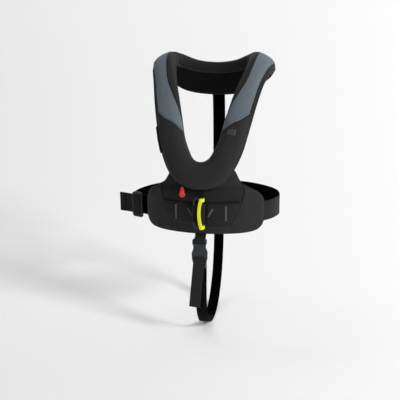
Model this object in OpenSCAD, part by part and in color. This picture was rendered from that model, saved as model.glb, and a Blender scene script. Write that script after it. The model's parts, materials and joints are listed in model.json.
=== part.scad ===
// Inflatable life jacket: a horseshoe cover worn round the neck, a padded waist panel with a hook
// closure, a waist belt, a back strap and a crotch strap. The folded bladder and its gas inflator
// lie inside the cover. +Z is up, the wearer faces -Y, and the wearer's left side is +X.
// The origin is on the torso's vertical axis, at the height where the cover rests on the shoulders.

/* [Cover] */
// Thickness of the cover's fabric and foam
skin = 2; // [1.5:0.25:2.5]
// Roundness of the cover's cross-section (2 is an ellipse, more is squarer)
roundness = 2.4; // [2:0.1:3]
// Half of the opening angle that the zip tape fills on the outer edge
zip_half_angle = 12; // [8:1:16]

/* [Waist] */
// Half width of the torso that the belt encircles
torso_rx = 160.6; // [140:0.2:175]
// Half depth of the torso that the belt encircles
torso_ry = 119.2; // [105:0.2:130]
// Height of the belt's top edge
belt_top = -294; // [-300:1:-290]
// Thickness of the padded waist panel
panel_t = 8; // [6:0.5:9]

/* [Webbing] */
// Width of the waist webbing
belt_w = 45; // [38:1:48]
// Width of the crotch webbing
crotch_w = 25; // [20:1:25]
// Width of the back webbing
back_w = 30; // [25:1:35]
// Thickness of all webbing
web_t = 2; // [1.5:0.1:2]

/* [Closure] */
// Radius of the closure ring's wire and of the hook's pin
wire_r = 2.2; // [2:0.1:2.2]
// Radial running clearance of the hook on its pin
pin_gap = 0.05; // [0.02:0.01:0.08]

/* [Inflator] */
// Radius of the gas cylinder
gas_r = 11; // [9:0.5:11]
// Radius of the oral tube
oral_r = 5; // [4:0.5:5.5]

/* [Hidden] */
black = [0.13, 0.13, 0.14];
dark = [0.05, 0.05, 0.06];
slate = [0.38, 0.42, 0.46];
grey = [0.32, 0.32, 0.33];
hook_yellow = [0.93, 1.0, 0.1];
tab_red = [0.9, 0.2, 0.2];

// Stations round the wearer's left half of the cover, from the front centre (0) over the shoulder
// (8) to the nape (11): the neck-side edge, the outer edge and the thickness. The right half is
// the mirror image, so the whole ring has 22 stations.
edge_in = [[0, -128, -195], [16, -125, -189], [28, -117, -169], [38, -105, -144], [46.5, -88, -107],
  [58, -63, -66], [72, -28, -26], [82, 10, 4], [84, 42, 15], [73, 69, 14], [41, 84, 4], [0, 88, 0]];
edge_out = [[0, -144, -254], [32, -143, -248], [63, -135, -226], [86, -118, -183], [100, -97, -133],
  [112, -67, -82], [123, -28, -42], [134, 14, -20], [138, 56, -20], [126, 94, -36],
  [78, 114, -70], [0, 119, -80]];
thick = [36, 36, 37, 37, 36, 35, 36, 41, 44, 41, 35, 32];
stations = 22;

function reversed(a) = [for (i = [len(a) - 2:-1:1]) a[i]];
function flip(p) = [-p[0], p[1], p[2]];
ring_in = concat(edge_in, [for (p = reversed(edge_in)) flip(p)]);
ring_out = concat(edge_out, [for (p = reversed(edge_out)) flip(p)]);
ring_thick = concat(thick, reversed(thick));

// Catmull-Rom value of the closed list a at t
function loop_at(a, t) = let(n = len(a), i = floor(t), f = t - i,
  p = [for (k = [-1:2]) a[(i + k + 2 * n) % n]])
  (2 * p[1] + (p[2] - p[0]) * f + (2 * p[0] - 5 * p[1] + 4 * p[2] - p[3]) * f * f
  + (3 * p[1] - p[0] - 3 * p[2] + p[3]) * f * f * f) / 2;
// The same on the open list a, whose ends are repeated
function path_at(a, t) = let(n = len(a), i = min(floor(t), n - 2), f = t - i,
  p = [for (k = [-1:2]) a[max(0, min(n - 1, i + k))]])
  (2 * p[1] + (p[2] - p[0]) * f + (2 * p[0] - 5 * p[1] + 4 * p[2] - p[3]) * f * f
  + (3 * p[1] - p[0] - 3 * p[2] + p[3]) * f * f * f) / 2;
function smooth_path(a, per) = [for (i = [0:(len(a) - 1) * per]) path_at(a, i / per)];

function unit(v) = v / norm(v);
function mid(t) = (loop_at(ring_in, t) + loop_at(ring_out, t)) / 2;
function half_w(t) = (loop_at(ring_out, t) - loop_at(ring_in, t)) / 2;
function outward(t) = unit(cross(half_w(t), mid(t + 0.1) - mid(t - 0.1)));
function spow(c) = sign(c) * pow(abs(c), 2 / roundness);
// Point of the cover at station t and section angle a: 0 is the neck edge, 90 the outer face,
// 180 the outer edge and 270 the body side. k is the depth below the surface.
function cover_point(t, a, k) = let(w = half_w(t))
  mid(t) - spow(cos(a)) * w * (1 - k / norm(w))
  + spow(sin(a)) * outward(t) * (loop_at(ring_thick, t) / 2 - k);

// A closed solid between two grids of points, top and bottom, n by m cells
module slab(top, bottom, n, m, wrap = false) {
  q = (n + 1) * (m + 1);
  function id(i, j) = (wrap && i == n ? 0 : i) * (m + 1) + j;
  upper = [for (i = [0:n - 1], j = [0:m - 1]) each [[id(i, j), id(i, j + 1), id(i + 1, j)],
    [id(i + 1, j), id(i, j + 1), id(i + 1, j + 1)]]];
  lower = [for (f = upper) [f[0] + q, f[2] + q, f[1] + q]];
  side_j = [for (i = [0:n - 1], j = [0, m]) let(a = id(i, j), b = id(i + 1, j))
    each (j == 0 ? [[a, b, a + q], [b, b + q, a + q]] : [[b, a, a + q], [b, a + q, b + q]])];
  side_i = wrap ? [] : [for (j = [0:m - 1], i = [0, n]) let(a = id(i, j), b = id(i, j + 1))
    each (i == 0 ? [[b, a, a + q], [b, a + q, b + q]] : [[a, b, a + q], [b, b + q, a + q]])];
  polyhedron([for (r = top, p = r) p, for (r = bottom, p = r) p],
    concat(upper, lower, side_j, side_i), convexity = 8);
}

// A shell of the cover: tf and af give station and angle for u along it and v across it
module cover_shell(n, m, tf, af, outer = 0, inner = skin, wrap = false) {
  function grid(k) = [for (i = [0:n]) [for (j = [0:m])
    let(u = i / n, v = j / m) cover_point(tf(u, v), af(u, v), k)]];
  slab(grid(inner), grid(outer), n, m, wrap);
}

seam_gap = 0.02;
back_seam = 8.4;
neck_side = -24;
zip_from = 180 - zip_half_angle;
zip_to = 180 + zip_half_angle;
gusset_seam = 138;
// Station of the slanted seam between the front cover and the shoulder panels, by section angle
function seam_t(a) = let(b = max(0, min(180, a))) 3.95 + 0.1 * sin(b) - 0.7 * cos(b);
// Section angle of the seam between the slate shoulder panel and the black inner panel, at equal
// steps from the slanted seam to the back seam
splits = [-8, -6, 2, 23, 54, 71, 68, 60, 54, 48];
function split_angle(u) = path_at(splits, u * (len(splits) - 1));
function mix(a, b, f) = a + (b - a) * f;

// Slot that the pull cord leaves by, through the cover's lower edge
slot_low = [-40, -160, -262];
slot_size = [11.5, 34, 36];
module cord_slot() {
  translate(slot_low) cube(slot_size);
}

module cover_front() {
  color(black) difference() {
    cover_shell(20, 12,
      function(u, v) let(s = seam_t(mix(neck_side, zip_from, v)) - seam_gap) mix(-s, s, u),
      function(u, v) mix(neck_side, zip_from, v));
    cord_slot();
  }
}

// One panel of the wearer's left shoulder between the section angles that from and to give for u
module shoulder_strip(n, m, from, to) {
  cover_shell(n, m,
    function(u, v) mix(seam_t(mix(from(0), to(0), v)) + seam_gap, back_seam - seam_gap, u),
    function(u, v) mix(from(u), to(u), v));
}
angle_gap = 0.3;
module shoulder_panel() {
  color(slate) shoulder_strip(14, 8, function(u) split_angle(u) + angle_gap,
    function(u) gusset_seam - angle_gap);
}
module inner_panel() {
  color(black) shoulder_strip(14, 6, function(u) neck_side, function(u) split_angle(u) - angle_gap);
}
module side_gusset() {
  color(black) shoulder_strip(14, 3, function(u) gusset_seam + angle_gap, function(u) zip_from);
}
module shoulder_panel_left() { shoulder_panel(); }
module shoulder_panel_right() { mirror([1, 0, 0]) shoulder_panel(); }
module inner_panel_left() { inner_panel(); }
module inner_panel_right() { mirror([1, 0, 0]) inner_panel(); }
module side_gusset_left() { side_gusset(); }
module side_gusset_right() { mirror([1, 0, 0]) side_gusset(); }

module neck_collar() {
  color(black) cover_shell(12, 12, function(u, v) mix(back_seam, stations - back_seam, u),
    function(u, v) mix(neck_side, zip_from, v));
}

module cover_lining() {
  color(dark) difference() {
    cover_shell(44, 8, function(u, v) stations * u, function(u, v) mix(zip_to + 0.6, 359.4 + neck_side, v),
      wrap = true);
    cord_slot();
  }
}

module burst_zip() {
  color(dark) difference() {
    cover_shell(44, 2, function(u, v) stations * u, function(u, v) mix(zip_from + 0.9, zip_to - 0.3, v),
      outer = 0.2, inner = skin, wrap = true);
    cord_slot();
  }
}

// Height of the bladder's fold above and below the mid plane: it lies flat beside the inflator
function fold_top(t) = let(x = t > 11 ? t - stations : t)
  mix(-0.62, 0.72, max(0, min(1, (abs(x) - 5) / 1.2)));
module bladder() {
  n = 44;
  m = 8;
  low = -0.9;
  // v across the fold at s from -1 to 1: side -1 is the body face, side 1 the outer face
  function fold(t, s, side) = let(w = half_w(t), h = loop_at(ring_thick, t) / 2 - skin - 1.5,
    cap = pow(1 - pow(0.85 * abs(s), roundness), 1 / roundness),
    v = cap * (side < 0 ? low : fold_top(t)) * (abs(s) == 1 ? 0.97 : 1))
    mid(t) + w * s * (0.8 - skin / norm(w)) + outward(t) * h * v;
  function grid(side) = [for (i = [0:n]) [for (j = [0:m]) fold(stations * i / n, 2 * j / m - 1, side)]];
  color("gold") slab(grid(-1), grid(1), n, m, true);
}

// Places its children with +Z along the line from p to q and -Y turned towards front
module facing(p, q, front) {
  z = unit(q - p);
  x = unit(cross(z, front));
  y = cross(z, x);
  multmatrix([[x[0], y[0], z[0], p[0]], [x[1], y[1], z[1], p[1]], [x[2], y[2], z[2], p[2]], [0, 0, 0, 1]])
    children();
}

module rod(z0, z1, r) {
  translate([0, 0, z0]) cylinder(r = r, h = z1 - z0, $fn = 48);
}
// A drum on the line that runs forwards through x, z, from y0 to y1
module drum(x, z, y0, y1, r) {
  translate([x, y1, z]) rotate([90, 0, 0]) cylinder(r = r, h = y1 - y0, $fn = 48);
}

// The inflator lies in the lower right lobe, its axis running up the lobe. In its own frame +X
// points to the middle of the chest and -Y out of the cover.
gas_low = [-50, -123.4, -184.1];
gas_high = [-74, -96.7, -116.8];
module inflator_axis() {
  facing(gas_low, gas_high, outward(-2.6)) children();
}

module gas_cylinder() {
  color("silver") inflator_axis() {
    rotate_extrude($fn = 48) polygon([[0, 4], [1.3, 4], [1.3, 1], [6, 1], [6, 7], [gas_r - 1, 11],
      [gas_r, 14], [gas_r, 62], [gas_r - 2, 67], [gas_r - 5, 70], [0, 70]]);
  }
}

// Pivot of the firing lever in the inflator's frame, and the lever's reach to the pull cord
pivot_x = 4;
pivot_z = -16;
reach = 12;
body_front = -8.5;
module inflator_body() {
  color("darkgreen") inflator_axis() difference() {
    union() {
      translate([-8, body_front, -23]) cube([16, 15, 21]);
      rod(-3, 0.8, 7);
    }
    rod(-30, 10, 2.2);
    drum(pivot_x, pivot_z, body_front - 1, body_front + 6, 1.5);
  }
}
module manifold_seal() {
  color(dark) inflator_axis() difference() {
    drum(0, -12, 6.7, 7.9, 6.5);
    drum(0, -12, 6, 9, 3);
  }
}
module lever_pin() {
  color("silver") inflator_axis() drum(pivot_x, pivot_z, body_front - 2.7, body_front + 5.5, 1.45);
}
module firing_lever() {
  color("orange") inflator_axis() difference() {
    union() {
      drum(pivot_x, pivot_z, body_front - 2.2, body_front - 0.2, 3.2);
      translate([pivot_x, body_front - 2.2, pivot_z - 2.2]) cube([reach, 2, 4.4]);
      drum(pivot_x + reach, pivot_z, body_front - 2.2, body_front - 0.2, 2.6);
    }
    drum(pivot_x, pivot_z, body_front - 4, body_front + 4, 1.5);
    drum(pivot_x + reach, pivot_z, body_front - 4, body_front + 4, 1.3);
  }
}
module firing_pin() {
  color("silver") inflator_axis() {
    rod(-21, -6, 2.15);
    rod(-6, 0.2, 0.9);
  }
}
module water_capsule() {
  color("white") inflator_axis() rod(-32, -23.2, 6.4);
}
module capsule_cap() {
  color(dark) inflator_axis() difference() {
    rod(-35.5, -25, 8);
    rod(-32.3, -20, 6.45);
  }
}
module status_window() {
  color("limegreen") inflator_axis() drum(-4, -7, body_front - 1.2, body_front, 2.6);
}

tab_x = -36;
tab_y = -150;
tab_top = -250;
cord_top = [-28.5, -141, -206];
module pull_lanyard() {
  color(dark) facing([tab_x, tab_y, tab_top + 3.4], cord_top, [0, -1, 0]) cylinder(r = 1, h = 38, $fn = 24);
}
module pull_tab() {
  color(tab_red) translate([tab_x, tab_y + 2.5, 0]) rotate([90, 0, 0]) linear_extrude(5) difference() {
    union() {
      polygon([[-3, tab_top], [3, tab_top], [6, tab_top - 14], [-6, tab_top - 14]]);
      translate([0, tab_top - 13.5]) circle(6.1, $fn = 48);
      translate([0, tab_top]) circle(3, $fn = 32);
    }
    translate([0, tab_top - 2]) circle(1.1, $fn = 32);
  }
}

// The oral tube lies in the lower left lobe
oral_low = [50, -127, -186];
oral_high = [72, -98, -124];
module oral_axis() {
  facing(oral_low, oral_high, outward(2.6)) children();
}
module oral_tube() {
  color(dark) oral_axis() difference() {
    rod(0, 40, oral_r);
    rod(3, 41, oral_r - 1.5);
  }
}
module oral_valve() {
  color("red") oral_axis() difference() {
    rod(40.2, 50, oral_r);
    rod(39, 51, 2);
  }
}
module oral_cap() {
  color("gold") oral_axis() difference() {
    rod(44, 53, oral_r + 1.6);
    rod(43, 51, oral_r + 0.05);
  }
}

module whistle() {
  color("orange") translate([14, -135.5, -224]) rotate([90, 0, 12]) linear_extrude(9) difference() {
    union() {
      circle(8, $fn = 48);
      translate([0, 0]) square([26, 8]);
    }
    circle(5.5, $fn = 48);
    translate([20, 4]) circle(1.5, $fn = 24);
  }
}

// A plain reflective lozenge on the left arm of the cover
module reflective_patch() {
  color(grey) cover_shell(4, 4, function(u, v) 3.28 + 0.26 * u + 0.18 * v, function(u, v) mix(62, 96, v),
    outer = -0.7, inner = -0.05);
}

// Point of the waist at angle p from the front, offset k outside the torso, at height z
function waist_at(p, k, z) = [(torso_rx + k) * sin(p), 1 - (torso_ry + k) * cos(p), z];
// Points of the panel's outline: angle from the front, top and bottom
panel_outline = [[0, -236, -356], [14, -232, -356], [24, -218, -356], [27, -221, -356], [31, -247, -356],
  [36, -255, -355.5], [42, -263.5, -354], [46, -269, -351], [50, -280, -343], [52, -294, -330]];
panel_off = 2;
function ease(x) = let(c = max(0, min(1, x))) c * c * (3 - 2 * c);
function lean(z) = -14 * ease((z + 268) / 50);
module waist_panel() {
  n = 40;
  m = 14;
  last = panel_outline[len(panel_outline) - 1][0];
  function row(p) = let(i = max([for (k = [0:len(panel_outline) - 2]) panel_outline[k][0] <= p ? k : 0]),
    a = panel_outline[i], b = panel_outline[i + 1]) mix(a, b, (p - a[0]) / (b[0] - a[0]));
  function grid(s) = [for (i = [0:n]) [for (j = [0:m]) let(p = mix(-last, last, i / n), r = row(abs(p)),
    v = j / m, z = mix(r[2], r[1], v),
    crown = sqrt((1 - pow(abs(2 * v - 1), 6)) * (1 - pow(abs(p) / (last + 0.5), 10))),
    depth = s > 0 ? mix(panel_t * 0.55, panel_t, crown) : mix(panel_t * 0.3, 0, crown))
    waist_at(p, panel_off + lean(z) + depth, z)]];
  color(black) slab(grid(1), grid(-1), n, m);
}

face = panel_off + panel_t;
// A flat sewn layer on the panel: x_top and x_low are [from, to] at its top and bottom edges
module layer(x_top, x_low, z_top, z_low, k0, k1, n = 10, m = 6) {
  function angle(x) = asin(x / (torso_rx + face));
  function across(v, u) = mix(mix(x_low[0], x_top[0], v), mix(x_low[1], x_top[1], v), u);
  function grid(k) = [for (i = [0:n]) [for (j = [0:m]) let(z = mix(z_low, z_top, j / m))
    waist_at(angle(across(j / m, i / n)), k + lean(z), z)]];
  slab(grid(k1), grid(k0), n, m);
}
module front_flap() {
  color(black) layer([-92, 92], [-84, 84], -252, -285, face + 0.3, face + 3.8, n = 20);
}
pocket_top = -286.5;
pocket_low = -336;
module pocket(side) {
  a = side > 0 ? [22.5, 84] : [-84, -22.5];
  b = side > 0 ? [16, 64] : [-64, -16];
  color(black) layer(a, b, pocket_top, pocket_low, face + 5.4, face + 9.4);
}
module pocket_left() { pocket(1); }
module pocket_right() { pocket(-1); }

// Sewn grey bars on the pockets: two upright, two slanting in towards the closure
module tack_bars() {
  color(grey) for (side = [-1, 1]) {
    bar(side * 55, side * 54.5, -292.5, -325);
    bar(side * 26, side * 19.5, -297, -317);
  }
}
// A bar whose centre line runs from x_top at z_top down to x_low at z_low
module bar(x_top, x_low, z_top, z_low) {
  layer([x_top - 2, x_top + 2], [x_low - 2, x_low + 2], z_top, z_low, face + 9.5, face + 10.4, 1, 4);
}

// A flat ribbon of thickness t that follows 2-D points, extruded to width w
module ribbon(points, w, t, per = 6) {
  p = smooth_path(points, per);
  n = len(p) - 1;
  function dir(i) = unit(p[min(n, i + 1)] - p[max(0, i - 1)]);
  function off(i, s) = p[i] + s * t / 2 * [-dir(i)[1], dir(i)[0]];
  linear_extrude(w) polygon(concat([for (i = [0:n]) off(i, 1)], [for (i = [n:-1:0]) off(i, -1)]));
}

// Direction of the webbing where it leaves the panel for the ladder lock
lock_angle = 158;
lock_at = [-161.5, -50, belt_top - belt_w / 2 - 1.5];
module at_lock() {
  translate(lock_at) rotate([0, 0, lock_angle]) children();
}
belt_path = [[118, -77], [134, -62], [148, -44], [158, -18], [160.6, 1], [154, 35], [138, 62], [112, 86],
  [80, 105], [40, 117], [0, 120.2], [-40, 117], [-80, 105], [-112, 86], [-138, 64], [-158, 36],
  [-171, 6], [-176, -18], [-175.6, -33], [-168.4, -43.8]];
anchor_path = [[-100, -90.8], [-118, -79], [-130, -68.8], [-139, -60.6], [-149.6, -54.8]];
module waist_belt() {
  color(dark) translate([0, 0, belt_top - belt_w]) ribbon(belt_path, belt_w, web_t, 4);
}
module belt_anchor() {
  color(black) translate([0, 0, belt_top - belt_w]) ribbon(anchor_path, belt_w, web_t);
}
module belt_slider() {
  lock_l = 29;
  lock_h = 60;
  corner = 6;
  slot_w = 5.4;
  color(dark) at_lock() translate([0, 5.4, 0]) rotate([90, 0, 0]) linear_extrude(3.4) difference() {
    union() {
      square([lock_l, lock_h - 2 * corner], center = true);
      square([lock_l - 2 * corner, lock_h], center = true);
      for (x = [-1, 1], z = [-1, 1]) translate([x * (lock_l / 2 - corner), z * (lock_h / 2 - corner)])
        circle(corner, $fn = 32);
    }
    for (x = [-8.8, 0, 8.8]) translate([x, 0]) square([slot_w, belt_w + 2], center = true);
  }
}
module belt_tail() {
  color(black) at_lock() translate([-8, -0.5, -belt_w / 2]) cube([61, web_t, belt_w]);
}

ring_y = -142;
ring_x = [-12.2, -0.6];
ring_z = [-338, -273];
module closure_ring() {
  r = (ring_x[1] - ring_x[0]) / 2;
  c = (ring_x[1] + ring_x[0]) / 2;
  color(dark) translate([0, ring_y, 0]) {
    for (x = ring_x) translate([x, 0, ring_z[0] + r])
      cylinder(r = wire_r, h = ring_z[1] - ring_z[0] - 2 * r, $fn = 32);
    translate([c, 0, ring_z[1] - r]) rotate([90, 0, 0]) rotate_extrude(angle = 180, $fn = 48)
      translate([r, 0]) circle(wire_r, $fn = 32);
    translate([c, 0, ring_z[0] + r]) rotate([-90, 0, 0]) rotate_extrude(angle = 180, $fn = 48)
      translate([r, 0]) circle(wire_r, $fn = 32);
  }
}
pin_at = [6.6, -142];
hook_z = [-340, -272];
arm_h = 7;
web_low = -328;
web_h = 40;
module looped_web(centre, path) {
  translate([0, 0, web_low]) difference() {
    union() {
      translate([centre[0], centre[1], 0]) cylinder(r = wire_r + web_t, h = web_h, $fn = 48);
      ribbon(path, web_h, 2 * web_t);
    }
    translate([centre[0], centre[1], -1]) cylinder(r = wire_r + 0.1, h = web_h + 2, $fn = 48);
  }
}
module ring_webbing() {
  color(dark) looped_web([ring_x[0], ring_y], [[-13, -141.5], [-13.2, -136.5], [-15.2, -132.2],
    [-21, -130.1], [-31, -129.3], [-46, -126.2]]);
}
module hook_webbing() {
  color(dark) looped_web(pin_at, [[7.2, -141.5], [7.6, -136.5], [10.4, -132.6], [18, -130.4],
    [30, -129.3], [46, -126.2]]);
}
module hook_pin() {
  color("silver") translate([pin_at[0], pin_at[1], 0]) {
    rod(hook_z[0] - 1.6, hook_z[1] + 1.6, wire_r);
    rod(hook_z[0] - 3, hook_z[0] - 0.3, wire_r + 1.4);
    rod(hook_z[1] + 0.3, hook_z[1] + 3, wire_r + 1.4);
  }
}
hook_back = -146.2;
hook_depth = 6.5;
bar_w = 6.5;
eye_r = 4.2;
module closure_hook() {
  bow_r = 110;
  bar_left = -3.5;
  mid_z = (hook_z[0] + hook_z[1]) / 2;
  half = (hook_z[1] - hook_z[0]) / 2;
  sweep = asin((half - 1) / bow_r);
  function arc(r, s) = [for (i = [-10:10]) let(q = sweep * i / 10)
    [s + bow_r - r * cos(q), mid_z + r * sin(q)]];
  color(hook_yellow) {
    translate([0, hook_back, 0]) rotate([90, 0, 0]) linear_extrude(hook_depth)
      polygon(concat(arc(bow_r, bar_left), [for (i = [20:-1:0]) arc(bow_r - bar_w, bar_left)[i]]));
    for (z = [hook_z[0], hook_z[1] - arm_h]) translate([0, 0, z]) linear_extrude(arm_h) difference() {
      union() {
        polygon([[1.5, hook_back - hook_depth], [6, hook_back - hook_depth], [10, hook_back - 2],
          [pin_at[0] + eye_r, pin_at[1]], [pin_at[0] - 2, pin_at[1] + 2], [3.4, hook_back + 1],
          [1.5, hook_back]]);
        translate(pin_at) circle(eye_r, $fn = 48);
      }
      translate(pin_at) circle(wire_r + pin_gap, $fn = 48);
    }
  }
}

back_path = [[119.8, -82.6], [122.6, -98], [126, -140], [127, -210], [124.5, -280], [123.5, -345]];
module side_ribbon(path, w, x = 0, t = web_t, per = 6) {
  translate([x - w / 2, 0, 0]) rotate([90, 0, 90]) ribbon(path, w, t, per);
}
module back_strap() {
  color(dark) side_ribbon(back_path, back_w);
}
module back_plate() {
  color(dark) translate([0, 126.1, belt_top - belt_w / 2]) rotate([-90, 0, 0]) linear_extrude(2.4) union() {
    square([40, 50], center = true);
    square([46, 44], center = true);
    for (x = [-20, 20], z = [-22, 22]) translate([x, z]) circle(3, $fn = 32);
  }
}

buckle_y = -134;
buckle_x = -2;
module at_buckle() {
  translate([buckle_x, buckle_y, 0]) children();
}
// A block that follows an outline seen from the front and is d deep
module front_block(outline, d) {
  rotate([90, 0, 0]) translate([0, 0, -d / 2]) linear_extrude(d) polygon(outline);
}
function two_sided(half) = concat(half, [for (i = [len(half) - 1:-1:0]) [-half[i][0], half[i][1]]]);
module buckle_socket() {
  color([0.15, 0.17, 0.2]) at_buckle() difference() {
    front_block(two_sided([[15.5, -369], [15.5, -378], [13.5, -381], [13.5, -389], [17, -398],
      [17, -406]]), 11);
    translate([-12.8, -8, -376.5]) cube([25.6, 16, 4.5]);
    translate([-11.5, -3, -407]) cube([23, 6, 26]);
    for (s = [-1, 1]) translate([s * 15 - 4, -3, -401]) cube([8, 6, 14]);
  }
}
module buckle_plug() {
  color([0.15, 0.17, 0.2]) at_buckle() {
    difference() {
      front_block(two_sided([[17, -406.4], [17, -412], [14, -424], [13.8, -433]]), 9);
      for (z = [-419, -429.5]) translate([-12.6, -8, z]) cube([25.2, 16, 4.6]);
    }
    for (s = [-1, 1]) translate([s * 8.6 - 2.4, -2.6, -407]) cube([4.8, 5.2, 22]);
    translate([-2, -2.6, -407]) cube([4, 5.2, 18]);
  }
}
hang_path = [[-118.8, -345], [-118.8, -355], [-122.5, -363], [-126.6, -369], [-127.2, -376],
  [-127.2, -388]];
wrap_path = [[-128.4, -366.4], [-132, -367.6], [-138, -367.6], [-141.2, -369.4], [-141, -372.6],
  [-138, -374.2], [-131, -374.2]];
module buckle_webbing() {
  color(black) {
    side_ribbon(hang_path, crotch_w, buckle_x);
    side_ribbon(wrap_path, crotch_w, buckle_x, 1.6);
  }
}
tail_tilt = 5.6;
module crotch_tail() {
  color(black) translate([buckle_x, buckle_y - 6.8, -409]) rotate([0, tail_tilt, 0])
    translate([-crotch_w / 2, 0, -118]) cube([crotch_w, web_t, 118]);
}
front_path = [[-127.8, -411], [-127.8, -440], [-129.5, -485], [-128, -520], [-117, -554], [-90, -583],
  [-54, -598], [-20, -602]];
rear_path = [[-19.6, -602], [10, -599], [40, -587], [70, -564], [96, -530], [112, -490], [121, -448],
  [124, -400], [123.5, -346]];
module crotch_strap_front() {
  color(dark) side_ribbon(front_path, crotch_w);
}
module crotch_strap_rear() {
  color(dark) side_ribbon(rear_path, crotch_w);
}

// The zip slider sits on the outer edge of the right arm, below its garage
zip_at = mid(stations - 3.6) + half_w(stations - 3.6);
module zip_slider() {
  color("silver") facing(zip_at, zip_at + mid(stations - 4.1) - mid(stations - 3.1), half_w(stations - 3.6))
    translate([-4, -3, -6]) cube([8, 2.4, 12]);
}
module zip_garage() {
  color(dark) cover_shell(6, 4, function(u, v) stations - 4.5 + 0.7 * u, function(u, v) mix(196, 232, v),
    outer = -2.5, inner = -0.5);
}

cover_front();
shoulder_panel_left();
shoulder_panel_right();
inner_panel_left();
inner_panel_right();
side_gusset_left();
side_gusset_right();
neck_collar();
cover_lining();
burst_zip();
zip_slider();
zip_garage();
bladder();
gas_cylinder();
inflator_body();
manifold_seal();
lever_pin();
firing_lever();
firing_pin();
water_capsule();
capsule_cap();
status_window();
pull_lanyard();
pull_tab();
oral_tube();
oral_valve();
oral_cap();
whistle();
reflective_patch();
waist_panel();
front_flap();
pocket_left();
pocket_right();
tack_bars();
waist_belt();
belt_anchor();
belt_slider();
belt_tail();
closure_ring();
ring_webbing();
hook_pin();
closure_hook();
hook_webbing();
back_strap();
back_plate();
buckle_webbing();
buckle_socket();
buckle_plug();
crotch_tail();
crotch_strap_front();
crotch_strap_rear();
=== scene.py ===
"""The visible pieces of an inflatable life jacket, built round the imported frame.

Metres, +Z up, the wearer faces -Y and the wearer's left is +X, as in the CAD model.
"""

import json
import math

import bmesh
import bpy
import numpy as np
from mathutils import Matrix, Vector

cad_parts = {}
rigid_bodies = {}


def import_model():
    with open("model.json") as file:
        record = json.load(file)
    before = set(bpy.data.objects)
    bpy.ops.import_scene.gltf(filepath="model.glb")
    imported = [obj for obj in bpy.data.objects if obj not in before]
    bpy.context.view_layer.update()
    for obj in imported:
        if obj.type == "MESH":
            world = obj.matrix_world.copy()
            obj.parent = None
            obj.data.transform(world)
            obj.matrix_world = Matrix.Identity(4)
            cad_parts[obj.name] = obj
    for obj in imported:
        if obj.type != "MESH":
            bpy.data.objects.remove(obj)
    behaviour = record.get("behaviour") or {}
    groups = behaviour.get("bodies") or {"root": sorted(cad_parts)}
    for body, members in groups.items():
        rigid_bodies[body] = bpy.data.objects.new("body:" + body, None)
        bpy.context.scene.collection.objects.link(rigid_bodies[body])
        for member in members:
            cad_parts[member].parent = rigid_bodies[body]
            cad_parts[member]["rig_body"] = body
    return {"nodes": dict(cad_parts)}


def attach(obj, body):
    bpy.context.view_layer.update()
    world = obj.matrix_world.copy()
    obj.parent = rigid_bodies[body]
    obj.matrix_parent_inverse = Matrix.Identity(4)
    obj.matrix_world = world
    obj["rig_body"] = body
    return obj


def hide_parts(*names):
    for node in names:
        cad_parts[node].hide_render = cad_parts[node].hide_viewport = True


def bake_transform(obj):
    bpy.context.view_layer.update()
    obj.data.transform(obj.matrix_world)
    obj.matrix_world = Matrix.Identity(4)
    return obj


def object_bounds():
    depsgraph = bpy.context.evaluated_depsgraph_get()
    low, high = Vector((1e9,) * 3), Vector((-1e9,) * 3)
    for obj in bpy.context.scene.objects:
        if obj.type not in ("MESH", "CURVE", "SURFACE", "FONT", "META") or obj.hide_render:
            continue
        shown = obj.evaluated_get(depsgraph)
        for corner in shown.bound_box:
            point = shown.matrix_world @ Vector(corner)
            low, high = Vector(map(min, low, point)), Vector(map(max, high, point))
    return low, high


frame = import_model()
cad_low, cad_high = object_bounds()
MM = 0.001
ROOT = "jacket"


# ---- camera, lights and floor

def in_scene(name, data):
    """A new object of the scene."""
    thing = bpy.data.objects.new(name, data)
    bpy.context.scene.collection.objects.link(thing)
    return thing


def add_camera():
    """A 59 mm lens about 1.5 m away, to the right and above."""
    azimuth, elevation, roll = math.radians(10.75), math.radians(15.5), math.radians(-0.42)
    target, distance = (-0.025, -0.0048, -0.315), 1.546
    data = bpy.data.cameras.new("camera")
    data.lens, data.sensor_width = 59, 36
    camera = in_scene("camera", data)
    turn = Matrix.Rotation(azimuth, 4, "Z") @ Matrix.Rotation(math.pi / 2 - elevation, 4, "X")
    camera.matrix_world = (Matrix.Translation(target) @ turn @ Matrix.Rotation(roll, 4, "Z")
                           @ Matrix.Translation((0, 0, distance)))
    bpy.context.scene.camera = camera


def add_area(name, place, target, size, watts):
    data = bpy.data.lights.new(name, "AREA")
    data.shape, data.size, data.energy = "DISK", size, watts
    lamp = in_scene(name, data)
    aim = Vector(target) - Vector(place)
    lamp.matrix_world = Matrix.Translation(place) @ aim.to_track_quat("-Z", "Y").to_matrix().to_4x4()


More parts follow.
